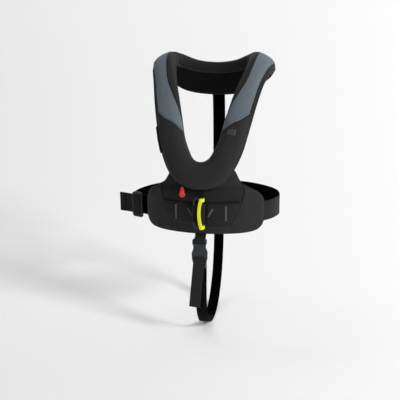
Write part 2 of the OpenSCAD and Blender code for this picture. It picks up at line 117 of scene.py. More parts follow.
def add_studio():
    """A pale floor that curves up into a backdrop, a soft key from the upper right, and fill light."""
    floor_z = cad_low[2] - 0.0012
    profile = [(-2.6, 0.0), (0.3, 0.0)]
    bend = 1.1
    for i in range(1, 17):
        angle = math.pi / 2 * i / 16
        profile.append((0.3 + bend * math.sin(angle), bend * (1 - math.cos(angle))))
    profile.append((0.3 + bend, 3.2))
    half = 4.0
    verts = [(x, y, floor_z + z) for y, z in profile for x in (-half, half)]
    faces = [(2 * i, 2 * i + 1, 2 * i + 3, 2 * i + 2) for i in range(len(profile) - 1)]
    mesh = bpy.data.meshes.new("backdrop")
    mesh.from_pydata(verts, [], faces)
    backdrop = in_scene("backdrop", mesh)
    paper = Shader("backdrop_paper")
    paper.surface({"Base Color": (0.92, 0.92, 0.92, 1), "Roughness": 0.95, "Specular IOR Level": 0.1,
                   "Emission Color": (1, 1, 1, 1), "Emission Strength": 0.06})
    shade_smooth(mesh, paper.mat)
    add_area("key", (3.4, -1.7, 1.9), (-0.3, 0.2, -0.4), 1.15, 140)
    add_area("wall_wash", (-1.2, 0.4, 1.9), (-1.1, 1.5, 0.4), 1.2, 10)
    world = bpy.data.worlds.new("studio")
    world.use_nodes = True
    world.node_tree.nodes["Background"].inputs["Color"].default_value = (0.99, 0.99, 1.0, 1)
    world.node_tree.nodes["Background"].inputs["Strength"].default_value = 0.285
    bpy.context.scene.world = world
    bpy.context.scene.view_settings.view_transform = "Standard"


# ---- materials

class Shader:
    """A material's node tree, with short forms of the nodes that its finish is made of."""

    def __init__(self, name):
        self.mat = bpy.data.materials.new(name)
        self.mat.use_nodes = True
        self.tree = self.mat.node_tree
        self.bsdf = self.tree.nodes["Principled BSDF"]

    def fill(self, node, inputs):
        """Gives each named input its value, or a link from another node's output."""
        for key, value in inputs.items():
            if isinstance(value, bpy.types.NodeSocket):
                self.tree.links.new(value, node.inputs[key])
            else:
                node.inputs[key].default_value = value
        return node

    def surface(self, inputs):
        self.fill(self.bsdf, inputs)

    def add(self, kind, inputs=(), **settings):
        node = self.tree.nodes.new("ShaderNode" + kind)
        for key, value in settings.items():
            setattr(node, key, value)
        return self.fill(node, dict(inputs))

    def math(self, operation, a, b=0.0):
        return self.add("Math", {0: a, 1: b}, operation=operation).outputs[0]

    def noise(self, scale, detail):
        place = self.add("TexCoord").outputs["Object"]
        return self.add("TexNoise", {"Vector": place, "Scale": scale, "Detail": detail}).outputs["Fac"]

    def tint(self, color, factor, spread):
        """Base colour that varies from color * (1 - spread) to color * (1 + spread) with factor."""
        low = [c * (1 - spread) for c in color] + [1]
        high = [min(1.0, c * (1 + spread)) for c in color] + [1]
        mixed = self.add("Mix", {"A": low, "B": high, "Factor": factor}, data_type="RGBA")
        self.surface({"Base Color": mixed.outputs["Result"]})

    def bump(self, height, distance):
        bumped = self.add("Bump", {"Height": height, "Distance": distance, "Strength": 1.0})
        self.surface({"Normal": bumped.outputs["Normal"]})

    def rough(self, factor, low, high):
        ranged = self.add("MapRange", {"Value": factor, "To Min": low, "To Max": high})
        self.surface({"Roughness": ranged.outputs["Result"]})

    def thread_map(self):
        return self.add("UVMap", uv_map="thread").outputs["UV"]

    def threads(self):
        """Millimetres along and across the cloth, from the mesh's own map."""
        split = self.add("SeparateXYZ", {"Vector": self.thread_map()})
        return split.outputs["X"], split.outputs["Y"]

    def ribs(self, coordinate, pitch):
        """0 to 1 ribs at a pitch in millimetres."""
        wave = self.math("SINE", self.math("MULTIPLY", coordinate, 2 * math.pi / pitch))
        return self.math("MULTIPLY_ADD", wave, 0.5)

    def sum(self, first, *weighted):
        """The first value plus each (value, weight) after it."""
        for value, weight in weighted:
            first = self.math("ADD", first, self.math("MULTIPLY", value, weight))
        return first


def woven(name, color, pitch=0.9, sheen=0.05):
    """Coated plain-weave nylon: two crossed sets of threads, mottling and a soft sheen."""
    s = Shader(name)
    along, across = s.threads()
    weave = s.math("MULTIPLY", s.ribs(along, pitch), s.ribs(across, pitch))
    slub, grain = s.noise(90, 4), s.noise(1400, 2)
    s.bump(s.sum(weave, (grain, 0.6), (slub, 1.6)), 0.12 * MM)
    s.tint(color, s.math("MULTIPLY", s.math("ADD", slub, weave), 0.6), 0.16)
    s.rough(slub, 0.6, 0.78)
    s.surface({"Sheen Weight": sheen, "Sheen Roughness": 0.5, "Specular IOR Level": 0.2})
    return s.mat


def spacer_mesh(name, color):
    """Knitted spacer mesh: rows of small round holes, darker at their centres with painted shade."""
    s = Shader(name)
    cells = s.add("TexVoronoi", {"Vector": s.thread_map(), "Scale": 0.38, "Randomness": 0.15})
    ranged = s.add("MapRange", {"Value": cells.outputs["Distance"], "From Min": 0.15, "From Max": 0.5})
    hole, fuzz = ranged.outputs["Result"], s.noise(900, 2)
    s.bump(s.sum(hole, (fuzz, 0.4)), 0.4 * MM)
    # Hole centres are darker: painted shade inside the holes.
    s.tint(color, hole, 0.45)
    s.rough(fuzz, 0.85, 1.0)
    s.surface({"Specular IOR Level": 0.08})
    return s.mat


def webbing_weave(name, color, width, sheen=0.04, shine=0.2):
    """Heavy webbing: herringbone ribs and a tighter selvedge at each edge."""
    s = Shader(name)
    along, across = s.threads()
    zigzag = s.math("PINGPONG", across, 2.8)
    twill = s.ribs(s.sum(along, (zigzag, 0.8)), 1.5)
    inside = s.math("LESS_THAN", s.math("ABSOLUTE", across), width / MM / 2 - 2.0)
    body = s.math("MULTIPLY", twill, inside)
    s.bump(s.sum(body, (s.ribs(across, 1.4), 0.5), (s.noise(1100, 2), 0.5)), 0.28 * MM)
    slub = s.noise(60, 3)
    s.tint(color, s.math("MULTIPLY", s.math("ADD", slub, body), 0.6), 0.3)
    s.rough(slub, 0.6, 0.8)
    s.surface({"Sheen Weight": sheen, "Specular IOR Level": shine})
    return s.mat


def moulded(name, color, roughness=(0.32, 0.48), painted_glow=0.0, metallic=0.0):
    """Moulded plastic, rubber or coated metal: a fine spark-eroded grain and uneven gloss, with an optional
    painted glow that makes the part shine like a lamp.
    """
    s = Shader(name)
    broad = s.noise(55, 3)
    s.bump(s.noise(2600, 2), 0.03 * MM)
    s.tint(color, broad, 0.1)
    s.rough(broad, *roughness)
    s.surface({"Metallic": metallic})
    # Painted light: the part glows with its own colour though it is no lamp.
    if painted_glow:
        s.surface({"Emission Color": (*color, 1), "Emission Strength": painted_glow})
    return s.mat


def reflective(name, color):
    """Glass-bead tape: a tight honeycomb of cells with a silvery gloss."""
    s = Shader(name)
    place = s.add("TexCoord").outputs["Object"]
    cells = s.add("TexVoronoi", feature="DISTANCE_TO_EDGE")
    s.fill(cells, {"Vector": place, "Scale": 900, "Randomness": 0.3})
    s.bump(cells.outputs["Distance"], 0.1 * MM)
    s.tint(color, s.noise(120, 3), 0.15)
    s.surface({"Metallic": 0.35, "Roughness": 0.42})
    return s.mat


# ---- mesh helpers

def shade_smooth(mesh, mat):
    mesh.materials.clear()
    mesh.materials.append(mat)
    mesh.polygons.foreach_set("use_smooth", [True] * len(mesh.polygons))


def riding(mesh, mat, body):
    """The mesh as a piece that rides on a body."""
    shade_smooth(mesh, mat)
    piece = in_scene(mesh.name, mesh)
    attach(piece, body)
    return piece


def mesh_object(name, verts, faces, mat, body, thread):
    """A mesh that rides on a body. thread gives each vertex its place on the cloth."""
    mesh = bpy.data.meshes.new(name)
    mesh.from_pydata([tuple(v) for v in verts], [], [tuple(int(i) for i in f) for f in faces])
    bm = bmesh.new()
    bm.from_mesh(mesh)
    bmesh.ops.recalc_face_normals(bm, faces=bm.faces)
    bm.to_mesh(mesh)
    bm.free()
    layer = mesh.uv_layers.new(name="thread")
    index = np.zeros(len(mesh.loops), dtype=int)
    mesh.loops.foreach_get("vertex_index", index)
    layer.data.foreach_set("uv", (np.asarray(thread)[index] / MM).astype(np.float32).ravel())
    return riding(mesh, mat, body)


def grid_faces(n, m, wrap_u=False, wrap_v=False):
    """Quads of an n by m grid of points."""
    faces = []
    for i in range(n if wrap_u else n - 1):
        for j in range(m if wrap_v else m - 1):
            a, b = i * m + j, i * m + (j + 1) % m
            c, d = (i + 1) % n * m + (j + 1) % m, (i + 1) % n * m + j
            faces.append((a, b, c, d))
    return faces


def unit(v):
    """Vectors of length 1."""
    return v / np.maximum(np.linalg.norm(v, axis=-1, keepdims=True), 1e-12)


def arc_lengths(points):
    """Running length along the first axis of a grid of points."""
    steps = np.linalg.norm(np.diff(points, axis=0), axis=-1)
    return np.concatenate([np.zeros((1,) + steps.shape[1:]), np.cumsum(steps, axis=0)])


def along_path(where, length, values):
    """Values of a path's points, at running lengths between theirs."""
    return np.stack([np.interp(where, length, values[:, k]) for k in range(3)], axis=-1)


def grid_threads(points):
    """Cloth coordinates of a grid of points: its own lengths along and across."""
    n, m = points.shape[:2]
    along = arc_lengths(points[:, m // 2:m // 2 + 1])
    across = arc_lengths(points[n // 2].reshape(m, 1, 3)).reshape(1, m)
    across = across - across[0, m // 2]
    return np.stack([np.broadcast_to(along, (n, m)), np.broadcast_to(across, (n, m))], axis=-1).reshape(-1, 2)


def shell(name, outside, inside, mat, wrap_u=False):
    """A closed skin between two grids of points; outside faces out when u x v points out."""
    n, m = outside.shape[:2]
    verts = np.concatenate([outside.reshape(-1, 3), inside.reshape(-1, 3)])
    count = n * m
    faces = grid_faces(n, m, wrap_u=wrap_u)
    faces += [tuple(count + k for k in reversed(f)) for f in faces]
    edges = []
    for i in range(n if wrap_u else n - 1):
        a, b = i * m, (i + 1) % n * m
        edges += [(a, b), (b + m - 1, a + m - 1)]
    if not wrap_u:
        last = (n - 1) * m
        for j in range(m - 1):
            edges += [(j + 1, j), (last + j, last + j + 1)]
    faces += [(a, count + a, count + b, b) for a, b in edges]
    threads = grid_threads(outside)
    return mesh_object(name, verts, faces, mat, ROOT, np.concatenate([threads, threads]))


def catmull(points, t, closed=False):
    """Catmull-Rom values of a list of numbers or points at the parameters t."""
    points, t = np.asarray(points, float), np.asarray(t, float)
    n = len(points)
    i = np.floor(t).astype(int)
    if not closed:
        i = np.clip(i, 0, n - 2)
    near = [i + k for k in (-1, 0, 1, 2)]
    p0, p1, p2, p3 = [points[k % n if closed else np.clip(k, 0, n - 1)] for k in near]
    f = t - i
    if points.ndim == 2:
        f = f[..., None]
    return 0.5 * (2 * p1 + (p2 - p0) * f + (2 * p0 - 5 * p1 + 4 * p2 - p3) * f ** 2
                  + (3 * p1 - p0 - 3 * p2 + p3) * f ** 3)


def smooth_path(points, per):
    """Catmull-Rom points through an open list of points, per for each of its stretches."""
    return catmull(points, np.linspace(0, len(points) - 1, (len(points) - 1) * per + 1))


def grid(u, v):
    return np.meshgrid(u, v, indexing="ij")


def edge_steps(count):
    """Numbers from 0 to 1, close together near both ends."""
    return (1 - np.cos(np.linspace(0, math.pi, count))) / 2


def ease(x):
    x = np.clip(x, 0, 1)
    return x * x * (3 - 2 * x)


def bulge(edge, width):
    """0 at a sewn edge, rising to 1 over a width with a full round shoulder."""
    return np.sqrt(1 - (1 - np.clip(edge / width, 0, 1)) ** 2)


def ripples(x, y, wavelength, seed, count=9):
    """Smooth repeatable noise between about -1 and 1 at places x, y in metres."""
    rng = np.random.default_rng(seed)
    total = 0
    for _ in range(count):
        angle, phase = rng.uniform(0, 2 * math.pi, 2)
        scale = 2 * math.pi / (wavelength * rng.uniform(0.7, 1.5))
        total = total + np.sin((x * math.cos(angle) + y * math.sin(angle)) * scale + phase)
    return total / math.sqrt(count * 2)


# ---- the horseshoe cover

# Stations of the wearer's left half, from the front centre to the nape: neck edge, outer edge, thickness
EDGE_IN = np.array([[0, -128, -195], [16, -125, -189], [28, -117, -169], [38, -105, -144],
                    [46.5, -88, -107], [58, -63, -66], [72, -28, -26], [82, 10, 4], [84, 42, 15],
                    [73, 69, 14], [41, 84, 4], [0, 88, 0]]) * MM
EDGE_OUT = np.array([[0, -144, -254], [32, -143, -248], [63, -135, -226], [86, -118, -183], [100, -97, -133],
                     [112, -67, -82], [123, -28, -42], [134, 14, -20], [138, 56, -20], [126, 94, -36],
                     [78, 114, -70], [0, 119, -80]]) * MM
THICK = np.array([36, 36, 37, 37, 36, 35, 36, 41, 44, 41, 35, 32]) * MM
ROUNDNESS = 2.4
STATIONS = 22
BACK_SEAM = 8.4
FRONT_SEAM = 3.95
ZIP_HALF = 12
GUSSET_SEAM = 138
NECK_SEAM, NAPE_ROLL = -24, 40
SPLIT_START = 3.3
SPLITS = [-8, -6, 2, 23, 54, 71, 68, 60, 54, 48]
FABRIC, FABRIC_DEPTH = 1.2 * MM, 1.5 * MM
SIDES = [(1, "left"), (-1, "right")]


def both_sides(half):
    rest = half[-2:0:-1].copy()
    if half.ndim == 2:
        rest[:, 0] *= -1
    return np.concatenate([half, rest])


RING_IN, RING_OUT, RING_THICK = both_sides(EDGE_IN), both_sides(EDGE_OUT), both_sides(THICK)


def ring_mid(t):
    return (catmull(RING_IN, t, True) + catmull(RING_OUT, t, True)) / 2


def ring_half(t):
    return (catmull(RING_OUT, t, True) - catmull(RING_IN, t, True)) / 2


def ring_outward(t):
    return unit(np.cross(ring_half(t), ring_mid(t + 0.1) - ring_mid(t - 0.1)))


def signed_power(c):
    return np.sign(c) * np.abs(c) ** (2 / ROUNDNESS)


def cover_point(t, a, k=0.0):
    """Cover surface at station t and section angle a (0 neck edge, 90 outer face, 180 outer edge,
    270 body side), k below the surface."""
    t, a = np.broadcast_arrays(np.asarray(t, float), np.asarray(a, float))
    k = np.broadcast_to(np.asarray(k, float), t.shape)[..., None]
    half = ring_half(t)
    width = np.linalg.norm(half, axis=-1, keepdims=True)
    across = signed_power(np.cos(np.radians(a)))[..., None]
    out = signed_power(np.sin(np.radians(a)))[..., None]
    return (ring_mid(t) - across * half * (1 - k / width)
            + out * ring_outward(t) * (catmull(RING_THICK, t, True)[..., None] / 2 - k))


def slanted_seam(a):
    a = np.radians(np.clip(a, 0, 180))
    return FRONT_SEAM + 0.1 * np.sin(a) - 0.7 * np.cos(a)


def neck_seam(t):
    """Section angle where the outer fabric ends on the body side: it rolls further in at the nape."""
    return NECK_SEAM - NAPE_ROLL * ease((np.abs(t) - 6.6) / 2.4)


def split_seam(t):
    """Section angle of the seam between slate panel and inner panel at station t."""
    share = np.clip((np.abs(t) - SPLIT_START) / (BACK_SEAM - SPLIT_START), 0, 1)
    return catmull(SPLITS, share * (len(SPLITS) - 1))


def cover_normals(t, a):
    step_t = cover_point(t + 0.02, a) - cover_point(t - 0.02, a)
    step_a = cover_point(t, a + 1.0) - cover_point(t, a - 1.0)
    return -unit(np.cross(step_t, step_a))


def raised(t, a, height):
    """Points of the cover's fabric at station t and angle a, lifted by a height, and their normals."""
    t, a, height = np.broadcast_arrays(t, a, height)
    normal = cover_normals(t, a)
    return cover_point(t, a, FABRIC) + normal * height[..., None], normal


def simulate_cover():
    """Inflates the cover between its sewn lines with a cloth simulation and returns how far each
    point of a coarse grid moves, as a field over station and angle."""
    n, m = 176, 36
    t = np.arange(n) * STATIONS / n
    a = np.arange(m) * 360.0 / m
    grid_t, grid_a = grid(t, a)
    start = cover_point(grid_t, grid_a, FABRIC)
    mesh = bpy.data.meshes.new("cover_cloth")
    mesh.from_pydata([tuple(p) for p in start.reshape(-1, 3)], [], grid_faces(n, m, True, True))
    cloth = in_scene("cover_cloth", mesh)
    signed_t = np.where(grid_t > STATIONS / 2, grid_t - STATIONS, grid_t)
    near_angle, near_station = 6, 0.07
    on_zip = np.abs(grid_a - 180) < ZIP_HALF + near_angle
    neck = neck_seam(signed_t) % 360
    on_neck = np.abs((grid_a - neck + 180) % 360 - 180) < near_angle
    front = np.abs(np.abs(signed_t) - slanted_seam(grid_a)) < near_station
    back = np.abs(np.abs(signed_t) - BACK_SEAM) < near_station
    outer_face = (grid_a < 180) | (grid_a > 330)
    on_shoulder = (np.abs(signed_t) > slanted_seam(grid_a)) & (np.abs(signed_t) < BACK_SEAM)
    split = on_shoulder & (np.abs(grid_a - split_seam(signed_t)) < 5.5)
    pinned = on_zip | on_neck | (outer_face & (front | back)) | split
    group = cloth.vertex_groups.new(name="pins")
    group.add([int(i) for i in np.flatnonzero(pinned.ravel())], 1.0, "REPLACE")
    moved = run_cloth(cloth, pressure=5.0, group="pins", cap=5 * MM).reshape(n, m, 3)
    normal = cover_normals(grid_t, grid_a)
    bpy.data.objects.remove(cloth)
    puff = np.clip(np.sum((moved - start) * normal, axis=-1), -1.5 * MM, 5 * MM)
    return smoothed(smoothed(puff, 0, 14), 1, 2)


def smoothed(values, axis, passes):
    """Values round a loop, each averaged with its neighbours in every pass."""
    for _ in range(passes):
        values = (np.roll(values, 1, axis) + 2 * values + np.roll(values, -1, axis)) / 4
    return values


def run_cloth(piece, pressure, group, cap, frames=20):
    """Runs Blender's cloth on a closed mesh, gravity off, and returns its points, moved at most cap."""
    scene = bpy.context.scene
    start = np.array([v.co for v in piece.data.vertices])
    modifier = piece.modifiers.new("cloth", "CLOTH")
    settings = modifier.settings
    settings.quality = 6
    settings.mass = 0.3
    settings.tension_stiffness = settings.compression_stiffness = 20
    settings.shear_stiffness = 8
    settings.bending_stiffness = 1.5
    settings.use_pressure = True
    settings.uniform_pressure_force = pressure
    settings.vertex_group_mass = group
    settings.effector_weights.gravity = 0
    settings.shrink_min = -0.012
    modifier.collision_settings.use_collision = False
    modifier.point_cache.frame_start, modifier.point_cache.frame_end = 1, frames
    for number in range(1, frames + 1):
        scene.frame_set(number)
    result = piece.evaluated_get(bpy.context.evaluated_depsgraph_get()).to_mesh()
    moved = np.array([v.co for v in result.vertices])
    scene.frame_set(1)
    piece.modifiers.clear()
    shift = moved - start
    length = np.linalg.norm(shift, axis=-1, keepdims=True)
    return start + shift * np.minimum(1, cap / np.maximum(length, 1e-9))


def sample_field(field, t, a):
    """Smooth value of the periodic field over station and angle."""
    n, m = field.shape
    x, y = np.mod(t, STATIONS) * n / STATIONS, np.mod(a, 360) * m / 360
    i, j = np.floor(x).astype(int), np.floor(y).astype(int)
    fx, fy = x - i, y - j

    def weights(f):
        return [(-f + 2 * f ** 2 - f ** 3) / 2, (2 - 5 * f ** 2 + 3 * f ** 3) / 2,
                (f + 4 * f ** 2 - 3 * f ** 3) / 2, (-f ** 2 + f ** 3) / 2]
    total = 0
    for dx, wx in enumerate(weights(fx)):
        for dy, wy in enumerate(weights(fy)):
            total = total + wx * wy * field[(i + dx - 1) % n, (j + dy - 1) % m]
    return total


def edge_spacing(count, length):
    """Parameters from 0 to 1, closer near both ends, where a seam dips over a few millimetres."""
    near = [d * MM / length for d in (0.5, 1.1, 1.9, 3.0, 4.6)]
    base = sorted(list(np.linspace(0, 1, count + 1)) + near + [1 - d for d in near])
    kept = [base[0]]
    for x in base[1:]:
        if x - kept[-1] > 0.2 * MM / length:
            kept.append(x)
    kept[-1] = 1.0
    return np.array(kept)


def hump(distance, width):
    """1 at a line, falling off smoothly over a width on either side."""
    return np.exp(-(distance / width) ** 2)


def seam_relief(distance):
    """Dip of the fabric at a sewn edge, and the slight swelling beside it."""
    return 0.35 * MM * hump(distance - 5 * MM, 3 * MM) - 1.3 * MM * hump(distance, 1.5 * MM)


def cover_panel(name, mat, puff, t_of, a_of, counts, lengths, seed, wrap=False):
    """A sewn panel of the cover. t_of and a_of give station and angle for u along and v across; all
    its sides are sewn down, except where u wraps round."""
    u = np.linspace(0, 1, counts[0] + 1)[:-1] if wrap else edge_spacing(counts[0], lengths[0])
    v = edge_spacing(counts[1], lengths[1])
    grid_u, grid_v = grid(u, v)
    t, a = t_of(grid_u, grid_v), a_of(grid_u, grid_v)
    along, across = grid_u * lengths[0], grid_v * lengths[1]
    gap = np.minimum(across, lengths[1] - across)
    if not wrap:
        gap = np.minimum(gap, np.minimum(along, lengths[0] - along))
    pucker = ripples(along, across, 11 * MM, seed) * np.exp(-gap / (6 * MM)) * 0.09 * MM
    broad = ripples(along, across, 60 * MM, seed + 50) * 0.16 * MM
    height = sample_field(puff, t, a) + seam_relief(gap) + (pucker + broad) * ease(gap / (2 * MM))
    outside, normal = raised(t, a, height)
    inside = outside - normal * FABRIC_DEPTH
    return shell(name, outside[:, ::-1], inside[:, ::-1], mat, wrap_u=wrap)


# ---- sewing and webbing

def tangents(path, closed=False):
    """Unit directions along a path."""
    if closed:
        return unit(np.roll(path, -1, 0) - np.roll(path, 1, 0))
    return unit(np.gradient(path, axis=0))


def sweep(name, path, up, section, mat, body=ROOT, closed=False):
    """A closed section, in (across, up) coordinates, carried along a path."""
    path = np.asarray(path, float)
    along = tangents(path, closed)
    up = np.broadcast_to(np.asarray(up, float), path.shape)
    up = unit(up - np.sum(up * along, axis=-1, keepdims=True) * along)
    across = np.cross(along, up)
    section = np.asarray(section, float)
    rings = path[:, None] + across[:, None] * section[:, 0, None] + up[:, None] * section[:, 1, None]
    n, m = rings.shape[:2]
    faces = grid_faces(n, m, wrap_u=closed, wrap_v=True)
    if not closed:
        faces += [tuple(range(m)), tuple((n - 1) * m + k for k in range(m))]
    length = arc_lengths(path)
    threads = np.stack([np.repeat(length, m), np.tile(section[:, 0], n)], axis=-1)
    return mesh_object(name, rings.reshape(-1, 3), faces, mat, body, threads)


def strap_section(width, thick):
    """Cross-section of webbing: flat faces, rounded selvedges that stand a little proud."""
    half, r = width / 2, thick / 2
    top = []
    for x in np.linspace(half - r, -half + r, 12):
        edge = hump(half - r - abs(x), 1.2 * MM)
        top.append((x, r * (0.9 + 0.1 * edge)))
    left = [(-half + r - r * math.sin(math.pi * i / 4), r * math.cos(math.pi * i / 4)) for i in (1, 2, 3)]
    low = [(-x, -z) for x, z in top]
    right = [(-x, -z) for x, z in left]
    return top + left + low + right


def round_section(radius, sides=12):
    return [(radius * math.cos(2 * math.pi * i / sides), radius * math.sin(2 * math.pi * i / sides))
            for i in range(sides)]


def stitches(name, runs, mat, body=ROOT, pitch=3.4 * MM, share=0.68, radius=0.3 * MM):
    """Rows of thread: each run is (path, normals) and each stitch an arched bead that dips at its ends."""
    verts, faces = [], []
    ring = np.array(round_section(1.0, 6))
    place = np.linspace(-share / 2, share / 2, 6)
    rise, fat = [-0.7, 0.45, 0.95, 0.95, 0.45, -0.7], [0.35, 0.85, 1.0, 1.0, 0.85, 0.35]
    for path, normal in runs:
        length = arc_lengths(path)
        count = max(1, int(length[-1] / pitch))
        for i in range(count):
            where = (i + 0.5 + place) / count * length[-1]
            centre, up = along_path(where, length, path), along_path(where[3], length, normal)
            along = unit(centre[-1] - centre[0])
            up = unit(up - along * np.dot(up, along))
            across = np.cross(along, up)
            start = len(verts)
            for c, r, f in zip(centre, rise, fat):
                for x, z in ring:
                    verts.append(c + up * (r + z * f) * radius + across * x * f * radius)
            faces += [tuple(start + k for k in f) for f in grid_faces(6, 6, wrap_v=True)]
            faces += [tuple(start + k for k in range(6)), tuple(start + 30 + k for k in range(6))]
    return mesh_object(name, verts, faces, mat, body, np.zeros((len(verts), 2)))


def rod_mesh(name, path, radius, mat, body=ROOT, closed=False, sides=12, up=(0, 0, 1)):
    return sweep(name, path, up, round_section(radius, sides), mat, body, closed)


def softened(node, mat, width, segments):
    """A CAD node's form with its edges moulded over to a radius, standing for that node."""
    bm = bmesh.new()
    bm.from_mesh(frame["nodes"][node].data)
    bmesh.ops.remove_doubles(bm, verts=bm.verts, dist=0.02 * MM)
    bmesh.ops.dissolve_limit(bm, angle_limit=math.radians(1.5), verts=bm.verts, edges=bm.edges)
    sharp = [e for e in bm.edges if len(e.link_faces) == 2 and e.calc_face_angle(0) > math.radians(30)]
    bmesh.ops.bevel(bm, geom=sharp, offset=width, segments=segments, profile=0.5, affect="EDGES",
                    clamp_overlap=True)
    bmesh.ops.recalc_face_normals(bm, faces=bm.faces)
    mesh = bpy.data.meshes.new(node + "_form")
    bm.to_mesh(mesh)
    bm.free()
    stand_for(riding(mesh, mat, body_of(node)), node)
    mesh.set_sharp_from_angle(angle=math.radians(38))


def stand_for(piece, node):
    """The piece is drawn instead of a CAD node, which is hidden."""
    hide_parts(node)


def stand_padded(piece, node):
    """A padded piece drawn instead of a CAD node."""
    stand_for(piece, node)


def body_of(node):
    return frame["nodes"][node]["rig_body"]


# ---- the cover's pieces

def mix(a, b, f):
    return a + (b - a) * f


def gusset_seam(t):
    """Section angle of the gusset's seam, the same at every station."""
    return GUSSET_SEAM


def zip_seam(t):
    """Section angle where the outer fabric meets the zip, the same at every station."""
    return 180 - ZIP_HALF


# Each side's panels, from the front seam to the back one: piece, node, seam on the neck's side, seam on
# the zip's side, points along and across, size in metres, seed of the ripples, and fill if padded
ARM_PANELS = [
    ("shoulder_fabric_", "shoulder_panel_", split_seam, gusset_seam, (110, 36), (0.27, 0.06), 11, 0.75),
    ("inner_fabric_", "inner_panel_", neck_seam, split_seam, (110, 30), (0.24, 0.05), 21, 0.7),
    ("gusset_fabric_", "side_gusset_", gusset_seam, zip_seam, (110, 12), (0.3, 0.018), 31, None)]


def make_arm_panel(puff, side, word, piece, node, low, high, counts, lengths, seed, fill):
    def station(u, v):
        return side * mix(slanted_seam(mix(low(0), high(0), v)), BACK_SEAM, u)

    def angle(u, v):
        t = mix(slanted_seam(90), BACK_SEAM, u)
        return mix(low(t), high(t), v)
    mat = SLATE_CLOTH if low is split_seam else INNER_CLOTH
    panel = cover_panel(piece + word, mat, puff, station, angle, counts, lengths, seed + side)
    stand_for(panel, node + word)


def make_cover(puff):
    def front_a(u, v):
        return mix(neck_seam(0), zip_seam(0), v)

    def front_t(u, v):
        return mix(-1, 1, u) * slanted_seam(front_a(u, v))
    front = cover_panel("cover_front_fabric", BLACK_CLOTH, puff, front_t, front_a, (150, 60),
                        (0.34, 0.105), 3)
    stand_padded(front, "cover_front")
    for side, word in SIDES:
        for panel in ARM_PANELS:
            make_arm_panel(puff, side, word, *panel)

    def collar_t(u, v):
        return mix(BACK_SEAM, STATIONS - BACK_SEAM, u) + 0 * v

    def collar_a(u, v):
        t = collar_t(u, v)
        return mix(neck_seam(np.minimum(t, STATIONS - t)), zip_seam(t), v)
    collar = cover_panel("collar_fabric", INNER_CLOTH, puff, collar_t, collar_a, (90, 50), (0.25, 0.12), 41)
    stand_padded(collar, "neck_collar")

    def lining_t(u, v):
        return STATIONS * u + 0 * v

    def lining_a(u, v):
        t = lining_t(u, v)
        return mix(180 + ZIP_HALF, 360 + neck_seam(np.minimum(t, STATIONS - t)), v)
    lining = cover_panel("lining_mesh", LINING_MESH, puff, lining_t, lining_a, (300, 44), (1.0, 0.09),
                         51, wrap=True)
    stand_padded(lining, "cover_lining")
    make_zip()


def zip_stations(count):
    """Stations round the zip, which stops short on either side of the pull cord."""
    return np.linspace(-0.95, STATIONS - 1.21, count)


def make_zip():
    """Zip tape round the outer edge, its two rows of coil and the piping beside it."""
    t = zip_stations(500)
    rows = [raised(t, a, lift * MM)[0] for a, lift in ((168, -0.6), (171, -0.5), (176, -0.4), (180, -0.35),
                                                       (184, -0.4), (189, -0.5), (192, -0.6))]
    outside = np.stack(rows, axis=1)
    inward = unit(ring_mid(t)[:, None] - outside)
    tape = shell("zip_tape_band", outside, outside + inward * FABRIC, TAPE_CLOTH)
    stand_for(tape, "burst_zip")
    coil_runs = []
    turns = 1400
    centre, normal = raised(zip_stations(turns), 180.0, 0.15 * MM)
    across = np.cross(tangents(centre), normal)
    for side in (-1, 1):
        for i in range(0, turns, 2):
            base, reach = centre[i] + across[i] * side * 1.1 * MM, across[i] * 1.4 * MM
            coil_runs.append((np.array([base - reach, base + reach]), np.array([normal[i], normal[i]])))
    coil = stitches("zip_coil", coil_runs, TEETH_PLASTIC, pitch=5 * MM, share=1.0, radius=0.42 * MM)
    for name, a in (("zip_piping_upper", 167.2), ("zip_piping_lower", 192.8)):
        cord, up = raised(t, a, 0.1 * MM)
        piping = sweep(name, cord, up, round_section(1.3 * MM, 10), BINDING_CLOTH)


def make_neck_piping():
    t = np.arange(520) * STATIONS / 520
    path, normal = raised(t, neck_seam(np.minimum(t, STATIONS - t)), -0.3 * MM)
    oval = [(x * 1.5, z) for x, z in round_section(1.4 * MM, 12)]
    piping = sweep("neck_piping", path, normal, oval, BINDING_CLOTH, closed=True)


def make_cover_stitching(puff):
    """Stitch rows beside the sewn lines."""
    rows = []
    beside = 0.09
    for side in (-1, 1):
        angles = np.linspace(-20, 164, 90)
        rows += [(side * (slanted_seam(angles) + shift), angles) for shift in (-beside, beside)]
        rows.append((side * (BACK_SEAM + beside) + 0 * angles, np.linspace(-55, 164, 90)))
        share = np.linspace(0.03, 0.97, 150)
        rows.append((side * mix(slanted_seam(SPLITS[0]), BACK_SEAM, share),
                     split_seam(mix(slanted_seam(90), BACK_SEAM, share)) + 4.0))
        stations = np.linspace(4.6, 8.3, 150)
        rows.append((side * stations, 0 * stations + GUSSET_SEAM - 5))
    runs = [raised(t, a, sample_field(puff, t, a) + 0.35 * MM) for t, a in rows]
    stitches("cover_stitching", runs, THREAD)


def make_badge(puff):
    """The plain reflective lozenge on the wearer's left arm."""
    u, v = grid(np.linspace(0, 1, 14), np.linspace(0, 1, 14))
    t, a = 3.29 + 0.24 * u + 0.18 * v, mix(64, 96, v)
    crown = 0.75 * MM - 0.3 * MM * np.maximum(np.abs(2 * u - 1), np.abs(2 * v - 1)) ** 8
    top, normal = raised(t, a, crown + sample_field(puff, t, a))
    badge = shell("reflective_lozenge", top, top - normal * 1.6 * MM, REFLECTIVE_TAPE)
    stand_for(badge, "reflective_patch")


def make_zip_flap():
    """The small flap over the zip slider and its garage, on the wearer's right arm."""
    u, v = grid(np.linspace(0, 1, 40), np.linspace(0, 1, 14))
    t, a = -3.02 - 1.04 * u, mix(156, 177, v)
    length, width = 52 * MM, 16 * MM
    height = 2.6 * MM * bulge(np.minimum(u, 1 - u) * length, 2 * MM)
    height = height * bulge(np.minimum(v, 1 - v) * width, 2.5 * MM)
    flap = shell("zip_flap", cover_point(t, a, -0.2 * MM - height), cover_point(t, a, 1 * MM), BLACK_BINDING)


# ---- the waist panel

